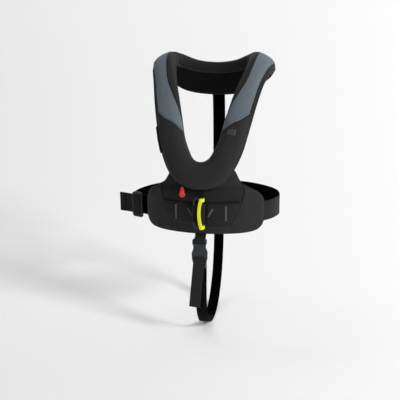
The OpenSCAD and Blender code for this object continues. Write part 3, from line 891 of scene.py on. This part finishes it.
TORSO_RX, TORSO_RY, TORSO_Y = 160.6 * MM, 119.2 * MM, 1 * MM
PANEL_OFF, PANEL_T = 2 * MM, 8 * MM
FACE = PANEL_OFF + PANEL_T
PANEL_ANGLE = [0, 14, 24, 27, 31, 36, 42, 46, 50, 52]
PANEL_TOP = [-236, -232, -218, -221, -247, -255, -263.5, -269, -280, -294]
PANEL_LOW = [-356, -356, -356, -356, -356, -355.5, -354, -351, -343, -330]


def waist_at(angle, k, z):
    """Point at an angle in degrees from the front, k outside the torso and at height z."""
    p = np.radians(angle)
    x, y = (TORSO_RX + k) * np.sin(p), TORSO_Y - (TORSO_RY + k) * np.cos(p)
    return np.stack(np.broadcast_arrays(x, y, z), axis=-1)


def lean(z):
    """The panel's upper part leans in towards the chest."""
    return -14 * MM * ease((z / MM + 268) / 50)


def panel_angle(x):
    return np.degrees(np.arcsin(np.clip(x / (TORSO_RX + FACE), -1, 1)))


def on_panel(x, k, z):
    """Point of the panel's front at sideways place x and height z, k outside the torso."""
    return waist_at(panel_angle(x), k + lean(z), z)


def panel_normal(x, z):
    step_x = on_panel(x + 1 * MM, FACE, z) - on_panel(x - 1 * MM, FACE, z)
    step_z = on_panel(x, FACE, z + 1 * MM) - on_panel(x, FACE, z - 1 * MM)
    return unit(np.cross(step_x, step_z))


def panel_row(x, z, rise):
    """Places and normals of a stitch row on the panel, at a height above its face."""
    return on_panel(x, FACE + rise, z), panel_normal(x, z)


def make_waist_panel():
    last = PANEL_ANGLE[-1]
    columns, rows = 170, 64
    u = np.linspace(-1, 1, columns)
    v = edge_steps(rows)
    angle = last * np.sign(u) * (1 - (1 - np.abs(u)) ** 1.4)
    top = np.interp(np.abs(angle), PANEL_ANGLE, PANEL_TOP) * MM
    low = np.interp(np.abs(angle), PANEL_ANGLE, PANEL_LOW) * MM
    grid_p, grid_v = grid(angle, v)
    z = mix(low[:, None], top[:, None], grid_v)
    edge = np.minimum(np.minimum(grid_v, 1 - grid_v) * (top - low)[:, None],
                      (last - np.abs(grid_p)) * math.pi / 180 * 0.15)
    crown = np.sqrt(1 - (1 - np.clip(edge / (9 * MM), 0, 1)) ** 2)
    x = grid_p * 2.9 * MM
    pucker = ripples(x, z, 9 * MM, 8) * np.exp(-edge / (6 * MM)) * 0.4 * MM
    wave = ripples(x, z, 40 * MM, 7) * 0.55 * MM + pucker
    side_seam = np.abs(np.abs(x) - mix(63 * MM, 91 * MM, np.clip((z / MM + 336) / 80, 0, 1)))
    groove = 1.1 * MM * hump(side_seam, 1.6 * MM)
    front = PANEL_OFF + lean(z) + mix(PANEL_T * 0.45, PANEL_T, crown) + (wave - groove) * crown
    back = PANEL_OFF + lean(z) + mix(PANEL_T * 0.35, 0, crown)
    pad = shell("waist_pad", waist_at(grid_p, front, z), waist_at(grid_p, back, z), BLACK_CLOTH)
    stand_padded(pad, "waist_panel")
    rim_p = np.concatenate([angle, angle[::-1]])
    rim_z = np.concatenate([top, low[::-1]])
    rim = waist_at(rim_p, PANEL_OFF + lean(rim_z) + PANEL_T * 0.4, rim_z)
    rim = even_loop(rim, 420)
    away = unit(rim * [1, 1, 0])
    binding = sweep("waist_binding", rim, away, [(x, z * 1.7) for x, z in round_section(1.9 * MM, 12)],
                    BINDING_CLOTH, closed=True)


def even_loop(points, count):
    """A closed loop resampled at equal steps and smoothed a little."""
    closed = np.concatenate([points, points[:1]])
    keep = np.concatenate([[True], np.linalg.norm(np.diff(closed, axis=0), axis=1) > 0.05 * MM])
    closed = closed[keep]
    length = arc_lengths(closed)
    s = np.linspace(0, length[-1], count, endpoint=False)
    return smoothed(along_path(s, length, closed), 0, 3)


APRON_HIGH, APRON_LOW = -256 * MM, -337 * MM
FLAP_TOP, FLAP_LOW = -251 * MM, -285.5 * MM
POCKET_TOP, POCKET_LOW = -286.5 * MM, -336 * MM


def apron_half(z):
    """Half width of the sewn-on apron at height z: its sides curve in towards the bottom."""
    drop = np.clip((APRON_HIGH - z) / (APRON_HIGH - APRON_LOW), 0, 1)
    return (92 - 30 * drop ** 1.6) * MM


def make_flap():
    """The upper part of the apron, from under the lobe down to the pockets' mouths."""
    u, v = grid(np.linspace(-1, 1, 120), edge_steps(40))
    z = mix(FLAP_LOW, FLAP_TOP, v)
    half = apron_half(z)
    x = u * half
    low, top, side = z - FLAP_LOW, FLAP_TOP - z, half - np.abs(x)
    edge = np.minimum(np.minimum(low, top), side)
    wave = ripples(x, z, 30 * MM, 71) * 0.35 * MM
    swell = 1.2 * MM * bulge(edge, 1.4 * MM) + 2.0 * MM * bulge(low, 14 * MM) * bulge(side, 20 * MM)
    swell = swell * ease(top / (14 * MM))
    hem = 0.7 * MM * hump(low - 4 * MM, 0.8 * MM)
    front = on_panel(x, FACE + 0.3 * MM + swell + (wave - hem) * ease(edge / (5 * MM)), z)
    flap = shell("waist_flap", front, on_panel(x, FACE - 0.6 * MM + 0 * x, z), DARK_CLOTH)
    stand_padded(flap, "front_flap")


def pocket_inner(z):
    """Sideways distance of a pocket's edge beside the closure."""
    return mix(10.5, 13, (z - POCKET_LOW) / (POCKET_TOP - POCKET_LOW)) * MM


def pocket_rise(x, z):
    """Height of the pocket's front above the panel at sideways distance x and height z."""
    inner, outer = np.abs(x) - pocket_inner(z), apron_half(z) - np.abs(x)
    low, top = z - POCKET_LOW, POCKET_TOP - z
    edge = np.minimum(np.minimum(low, outer), np.minimum(top, inner))
    dome = bulge(outer, 24 * MM) * bulge(low, 18 * MM) * bulge(inner, 4 * MM)
    dome = dome * mix(0.25, 1, bulge(top, 16 * MM))
    return 0.3 * MM + 1.3 * MM * bulge(edge, 1.4 * MM) + 7.0 * MM * dome


def make_pocket(side, word):
    u, v = grid(edge_steps(90), edge_steps(60))
    z = mix(POCKET_LOW, POCKET_TOP, v)
    x = side * mix(pocket_inner(z), apron_half(z), u)
    width, height = 60 * MM, 49 * MM
    edge = np.minimum(np.minimum(u, 1 - u) * width, np.minimum(v, 1 - v) * height)
    pucker = ripples(x, z, 8 * MM, 87 + side) * 0.25 * MM * np.exp(-edge / (6 * MM))
    wave = ripples(x, z, 24 * MM, 83 + side) * 0.5 * MM + pucker
    hem = 0.7 * MM * hump(POCKET_TOP - z - 4.5 * MM, 0.8 * MM)
    front = on_panel(x, FACE + pocket_rise(x, z) + (wave - hem) * ease(edge / (4 * MM)), z)
    pocket = shell("pocket_bag_" + word, front, on_panel(x, FACE - 0.5 * MM + 0 * x, z), DARK_CLOTH)
    stand_padded(pocket, "pocket_" + word)


def make_waist_layers():
    make_flap()
    for side, word in SIDES:
        make_pocket(side, word)
    x = np.linspace(-80, 80, 120) * MM
    runs = [panel_row(x, np.full(120, -281.5 * MM), 3.0 * MM)]
    for side in (-1, 1):
        z = np.linspace(-289, -333, 60) * MM
        for x in (side * (apron_half(z) - 2.6 * MM), side * (pocket_inner(z) + 2.4 * MM)):
            runs.append(panel_row(x, z, pocket_rise(x, z) + 0.1 * MM))
        for z_row, reach in ((-291, (16, 82)), (-333.2, (13, 62))):
            x, z = side * np.linspace(*reach, 70) * MM, np.full(70, z_row * MM)
            runs.append(panel_row(x, z, pocket_rise(x, z) - 0.1 * MM))
        for low, high, count, beside, rise in ((-254, -284, 50, -2.4, 2.2), (-256, -337, 90, 2.0, 0.25)):
            z = np.linspace(low, high, count) * MM
            runs.append(panel_row(side * (apron_half(z) + beside * MM), z, rise * MM))
    stitches("waist_stitching", runs, THREAD)
    for side, word in SIDES:
        # Near-black rods along the apron's sides: painted shade, standing for the shadow line beside the
        # apron's raised edges.
        z = np.linspace(-256, -336, 90) * MM
        edge = on_panel(side * (apron_half(z) + 0.4 * MM), FACE + 0.9 * MM, z)
        rod_mesh("apron_shade_line_" + word, edge, 1.4 * MM, BLACK_BINDING, sides=10)
    make_tack_bars()


def make_tack_bars():
    """Four dense zigzag bars of grey thread."""
    runs = []
    for side in (-1, 1):
        for x_top, x_low, z_top, z_low in ((52.5, 52.5, -291.5, -324.5), (26, 16, -297, -315)):
            length = math.hypot(x_top - x_low, z_top - z_low)
            count = int(length / 0.62)
            for i in range(count):
                f = (i + 0.5) / count
                x, z = side * mix(x_top, x_low, f), mix(z_top, z_low, f)
                ends = np.array([x - 2.3, x + 2.3]) * MM
                heights = np.array([z + 0.25, z - 0.25]) * MM
                runs.append(panel_row(ends, heights, pocket_rise(ends, heights) + 0.35 * MM))
    bars = stitches("tack_bar_threads", runs, GREY_THREAD, pitch=6 * MM, share=1.0, radius=0.42 * MM)
    stand_for(bars, "tack_bars")


# ---- webbing

def flat_path(points, z):
    """A smooth path in plan, at height z, from points in millimetres."""
    path = smooth_path(np.asarray(points, float) * MM, 10)
    return np.column_stack([path, np.full(len(path), z)])


def upright_path(points, x):
    """A smooth path in the plane at sideways place x, from (y, z) points in millimetres."""
    path = smooth_path(np.asarray(points, float) * MM, 10)
    return np.column_stack([np.full(len(path), x), path])


def face_normals(path, axis):
    """Normals of webbing whose width runs along axis."""
    return np.cross(tangents(path), np.asarray(axis, float))


def webbing(name, path, axis, width, mat, node=None, body=ROOT, thick=2 * MM):
    """Flat webbing along a path, whose width runs along axis."""
    piece = sweep(name, path, face_normals(path, axis), strap_section(width, thick), mat, body)
    if node:
        stand_for(piece, node)
    return piece


def web_edges(path, axis, width, inset=3 * MM, lift=1.05 * MM):
    """Stitch rows along both selvedges of a strap, on both faces."""
    normal = unit(face_normals(path, axis))
    aside = np.asarray(axis, float) * (width / 2 - inset)
    return [(path + aside * side + normal * lift * face, normal * face)
            for side in (-1, 1) for face in (-1, 1)]


BELT_PATH = [[118, -77], [134, -62], [148, -44], [158, -18], [160.6, 1], [154, 35], [138, 62], [112, 86],
             [80, 105], [40, 117], [0, 120.2], [-40, 117], [-80, 105], [-112, 86], [-138, 64], [-158, 36],
             [-171, 6], [-176, -18], [-175.6, -33], [-168.4, -43.8]]
ANCHOR_PATH = [[-100, -90.8], [-118, -79], [-130, -68.8], [-139, -60.6], [-149.6, -54.8]]
BACK_PATH = [[117, -71], [119.8, -82.6], [122.6, -98], [126, -140], [127, -210], [124.5, -280], [123.5, -345]]
HANG_PATH = [[-118.8, -345], [-118.8, -355], [-122.5, -363], [-126.6, -369], [-127.2, -376], [-127.2, -388]]
WRAP_PATH = [[-128.4, -366.4], [-132, -367.6], [-138, -367.6], [-141.2, -369.4], [-141, -372.6],
             [-138, -374.2], [-131, -374.2]]
TAIL_PATH = [[-140.8, -409], [-140.9, -440], [-140.9, -480], [-140.6, -527]]
FRONT_PATH = [[-127.8, -411], [-127.8, -440], [-129.5, -485], [-128, -520], [-117, -554], [-90, -583],
              [-54, -598], [-20, -602]]
REAR_PATH = [[-19.6, -602], [10, -599], [40, -587], [70, -564], [96, -530], [112, -490], [121, -448],
             [124, -400], [123.5, -346]]
BELT_Z, BELT_W = -316.5 * MM, 45 * MM
CROTCH_W, BACK_W = 25 * MM, 30 * MM
BUCKLE_X = -2 * MM
UP_AXIS, SIDE_AXIS = (0, 0, 1), (1, 0, 0)


def make_webbing():
    belt, anchor = flat_path(BELT_PATH, BELT_Z), flat_path(ANCHOR_PATH, BELT_Z)
    back = upright_path(BACK_PATH, 0)
    piece = webbing("belt_webbing", belt, UP_AXIS, BELT_W, BELT_WEB, "waist_belt")
    # The belt's inward-facing polygons take a near-black second material: painted shade on the belt's inner
    # side.
    piece.data.materials.append(BELT_PAINTED_SHADE)
    for polygon in piece.data.polygons:
        if polygon.normal.xy.dot(polygon.center.xy) < -0.5 * polygon.center.xy.length:
            polygon.material_index = 1
    # The anchor strap behind the lock is near-black: painted shade.
    webbing("anchor_webbing", anchor, UP_AXIS, BELT_W, BELT_PAINTED_SHADE, "belt_anchor")
    # The back strap is near-black: painted shade of the jacket's back.
    webbing("back_webbing", back, SIDE_AXIS, BACK_W, BACK_WEB_PAINTED_SHADE, "back_strap")
    hang, wrap = upright_path(HANG_PATH, BUCKLE_X), upright_path(WRAP_PATH, BUCKLE_X)
    webbing("buckle_hanger", hang, SIDE_AXIS, CROTCH_W, CROTCH_WEB, "buckle_webbing")
    webbing("buckle_wrap", wrap, SIDE_AXIS, CROTCH_W, CROTCH_WEB, thick=1.6 * MM)
    rear, fore = upright_path(REAR_PATH, 0), upright_path(FRONT_PATH, 0)
    # The rear crotch strap is near-black: painted shade.
    webbing("crotch_rear_webbing", rear, SIDE_AXIS, CROTCH_W, REAR_WEB_PAINTED_SHADE, "crotch_strap_rear")
    # The front crotch strap is darker than the tail: painted shade of the strap lying behind it.
    front = webbing("crotch_front_webbing", fore, SIDE_AXIS, CROTCH_W, FRONT_WEB_PAINTED_SHADE, "crotch_strap_front")
    front.parent = None
    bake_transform(front)
    runs = []
    for path, axis, width in ((anchor[:12], UP_AXIS, BELT_W), (back[:14], SIDE_AXIS, BACK_W),
                              (belt[:12], UP_AXIS, BELT_W)):
        runs += web_edges(path, axis, width)
    stitches("webbing_stitching", runs, THREAD)
    pivot = Matrix.Translation((BUCKLE_X, 0, TAIL_PATH[0][1] * MM))
    tilt = pivot @ Matrix.Rotation(math.radians(5.6), 4, "Y") @ pivot.inverted()
    tail = np.array([tilt @ Vector(p) for p in upright_path(TAIL_PATH, BUCKLE_X)])
    webbing("crotch_tail_webbing", tail, tilt.to_3x3() @ Vector(SIDE_AXIS), CROTCH_W, CROTCH_WEB,
            "crotch_tail", body_of("crotch_tail"))
    make_belt_tail()
    make_closure_webbing()


LOCK_PLACE = (-161.5 * MM, -50 * MM, BELT_Z - 1.5 * MM)
LOCK_TURN = Matrix.Translation(LOCK_PLACE) @ Matrix.Rotation(math.radians(158), 4, "Z")
LOCK_OUT = LOCK_TURN.to_3x3() @ Vector((0, 1, 0))


def from_lock(points):
    """Points given in millimetres in the ladder lock's own frame, whose +Y faces out."""
    return np.array([LOCK_TURN @ Vector((x * MM, y * MM, z * MM)) for x, y, z in points])


def make_belt_tail():
    """The free end of the belt under the ladder lock, its hem folded back on itself and sewn."""
    body = body_of("belt_tail")
    path = from_lock([(x, 0.5, 0) for x in np.linspace(-8, 53, 40)])
    webbing("belt_tail_webbing", path, UP_AXIS, BELT_W, BELT_WEB, "belt_tail", body)
    hem = from_lock([(x, 2.3, 0) for x in np.linspace(39, 53, 12)])
    webbing("belt_tail_fold", hem, UP_AXIS, BELT_W - 0.4 * MM, BELT_WEB, body=body, thick=1.7 * MM)
    rows = []
    for x in (41, 50.5):
        row = from_lock([(x, 3.2, z) for z in np.linspace(-21, 21, 30)])
        rows.append((row, np.tile(LOCK_OUT, (30, 1))))
    stitches("belt_tail_stitching", rows, THREAD, body)


def make_lock():
    """The ladder lock's frame, its raised round bead, and the belt woven over its two inner bars."""
    softened("belt_slider", BLACK_PLASTIC, 1.0 * MM, 3)
    corners = [(8.3, 23.4, 0), (-8.3, 23.4, 90), (-8.3, -23.4, 180), (8.3, -23.4, 270)]
    loop = [(x + 4 * math.cos(math.radians(q + turn)), 4.8, z + 4 * math.sin(math.radians(q + turn)))
            for x, z, turn in corners for q in np.linspace(0, 90, 9)]
    bead = rod_mesh("lock_bead", even_loop(from_lock(loop), 150), 2.2 * MM, BLACK_PLASTIC, closed=True,
                    up=LOCK_OUT)
    weave = smooth_path([(9.3, 2.6), (8.9, 4.6), (6.8, 6.6), (3.5, 7.1), (0, 6.7), (-3.5, 7.1), (-6.8, 6.6),
                         (-8.9, 4.6), (-9.3, 1.9)], 5)
    path = from_lock([(x, y, 0) for x, y in weave])
    webbing("lock_weave", path, UP_AXIS, BELT_W, BELT_WEB, thick=1.9 * MM)


def make_closure_webbing():
    """Tabs of webbing that hold the ring and the hook's pin, each looped round its wire."""
    radius, z, width = 3.25 * MM, -308 * MM, 40 * MM
    angles = np.radians(np.linspace(60, 360, 30))
    for name, centre, path, node in (
            ("ring_tab", (-12.2, -142), [(-13.2, -136.5), (-15.2, -132.2), (-21, -130.1), (-31, -129.3),
                                         (-46, -126.2)], "ring_webbing"),
            ("hook_tab", (6.6, -142), [(7.6, -136.5), (10.4, -132.6), (18, -130.4), (30, -129.3),
                                       (46, -126.2)], "hook_webbing")):
        webbing(name, flat_path(path, z), UP_AXIS, width, BELT_WEB, node, thick=3.8 * MM)
        x, y = centre[0] * MM + radius * np.cos(angles), centre[1] * MM + radius * np.sin(angles)
        loop = np.column_stack([x, y, np.full(len(angles), z)])
        webbing(name + "_loop", loop, UP_AXIS, width, BELT_WEB, thick=1.9 * MM)


# ---- hardware

def make_hardware():
    make_lock()
    for node, mat, radius, segments in (
            ("back_plate", BLACK_PLASTIC, 0.7, 2), ("buckle_socket", BUCKLE_PLASTIC, 0.9, 2),
            ("buckle_plug", BUCKLE_PLASTIC, 0.8, 2), ("closure_hook", HOOK_YELLOW, 1.3, 3),
            ("pull_tab", TAB_RED, 1.1, 3), ("zip_slider", STEEL, 0.5, 2)):
        softened(node, mat, radius * MM, segments)
    for mat, nodes in (
            (RING_METAL, ["closure_ring"]), (DARK_CLOTH, ["zip_garage"]), (BLADDER_FILM, ["bladder"]),
            (BLACK_PLASTIC, ["hook_pin", "firing_lever", "capsule_cap", "oral_cap"]),
            (CORD_BLACK, ["pull_lanyard", "manifold_seal", "oral_tube"]),
            (TAB_RED, ["whistle", "oral_valve"]), (STEEL, ["gas_cylinder", "lever_pin", "firing_pin"]),
            (INFLATOR_PLASTIC, ["inflator_body", "status_window"]), (CAPSULE_WHITE, ["water_capsule"])):
        for node in nodes:
            shade_smooth(frame["nodes"][node].data, mat)


# ---- build

BLACK_CLOTH = woven("black_nylon", (0.0185, 0.0188, 0.0196))
INNER_CLOTH = woven("inner_nylon", (0.0105, 0.0106, 0.011), sheen=0.03)
DARK_CLOTH = woven("dark_nylon", (0.0115, 0.0115, 0.012), sheen=0.03)
SLATE_CLOTH = woven("slate_nylon", (0.124, 0.152, 0.177), sheen=0.08)
BLACK_BINDING = woven("black_binding", (0.004, 0.004, 0.0042), pitch=0.6, sheen=0.0)
BINDING_CLOTH = woven("binding_tape", (0.016, 0.016, 0.017), pitch=0.6)
TAPE_CLOTH = woven("zip_tape_cloth", (0.012, 0.012, 0.013), pitch=0.7, sheen=0.1)
LINING_MESH = spacer_mesh("lining_spacer", (0.0045, 0.0045, 0.005))
THREAD = woven("thread_black", (0.02, 0.02, 0.021), pitch=0.4)
GREY_THREAD = woven("thread_grey", (0.1, 0.1, 0.102), pitch=0.4)
BELT_WEB = webbing_weave("belt_webbing_weave", (0.0085, 0.0085, 0.0091), BELT_W)
# Near-black webbing for the belt's inner side, the back strap and the rear crotch strap: painted shade, where
# these lie in shadow.
BELT_PAINTED_SHADE, BACK_WEB_PAINTED_SHADE, REAR_WEB_PAINTED_SHADE = [
    webbing_weave(name, (0.0006, 0.0006, 0.0006), width, sheen=0.0, shine=0.015)
    for name, width in (("belt_inner_painted_shade", BELT_W), ("back_webbing_painted_shade", BACK_W),
                        ("rear_webbing_painted_shade", CROTCH_W))]
CROTCH_WEB = webbing_weave("crotch_webbing_weave", (0.0125, 0.0125, 0.0135), CROTCH_W)
# Darker than the crotch tail's webbing: painted shade for the front strap behind the tail.
FRONT_WEB_PAINTED_SHADE = webbing_weave("front_webbing_painted_shade", (0.003, 0.003, 0.0034), CROTCH_W, sheen=0.0, shine=0.05)
BLACK_PLASTIC = moulded("black_acetal", (0.0045, 0.0045, 0.005), roughness=(0.3, 0.42))
BUCKLE_PLASTIC = moulded("buckle_acetal", (0.0095, 0.0128, 0.017), roughness=(0.4, 0.55))
TEETH_PLASTIC = moulded("coil_nylon", (0.008, 0.008, 0.009))
# The hook glows a little: painted light that lifts its yellow.
HOOK_YELLOW = moulded("hook_yellow", (0.76, 0.82, 0.01), roughness=(0.4, 0.5), painted_glow=0.05)
TAB_RED = moulded("tab_red", (0.56, 0.028, 0.021), roughness=(0.4, 0.5))
STEEL = moulded("steel", (0.5, 0.5, 0.52), roughness=(0.25, 0.35), metallic=1.0)
RING_METAL = moulded("ring_black_steel", (0.05, 0.05, 0.053), roughness=(0.3, 0.4), metallic=0.7)
CORD_BLACK = moulded("cord_black", (0.01, 0.01, 0.011), roughness=(0.7, 0.8))
INFLATOR_PLASTIC = moulded("inflator_green", (0.02, 0.11, 0.04))
CAPSULE_WHITE = moulded("capsule_white", (0.8, 0.8, 0.78))
BLADDER_FILM = moulded("bladder_yellow", (0.75, 0.55, 0.03), roughness=(0.35, 0.5))
REFLECTIVE_TAPE = reflective("glass_bead_tape", (0.06, 0.06, 0.063))

add_camera()
add_studio()
cover_puff = simulate_cover()
make_cover(cover_puff)
make_neck_piping()
make_cover_stitching(cover_puff)
make_badge(cover_puff)
make_zip_flap()
make_waist_panel()
make_waist_layers()
make_webbing()
make_hardware()
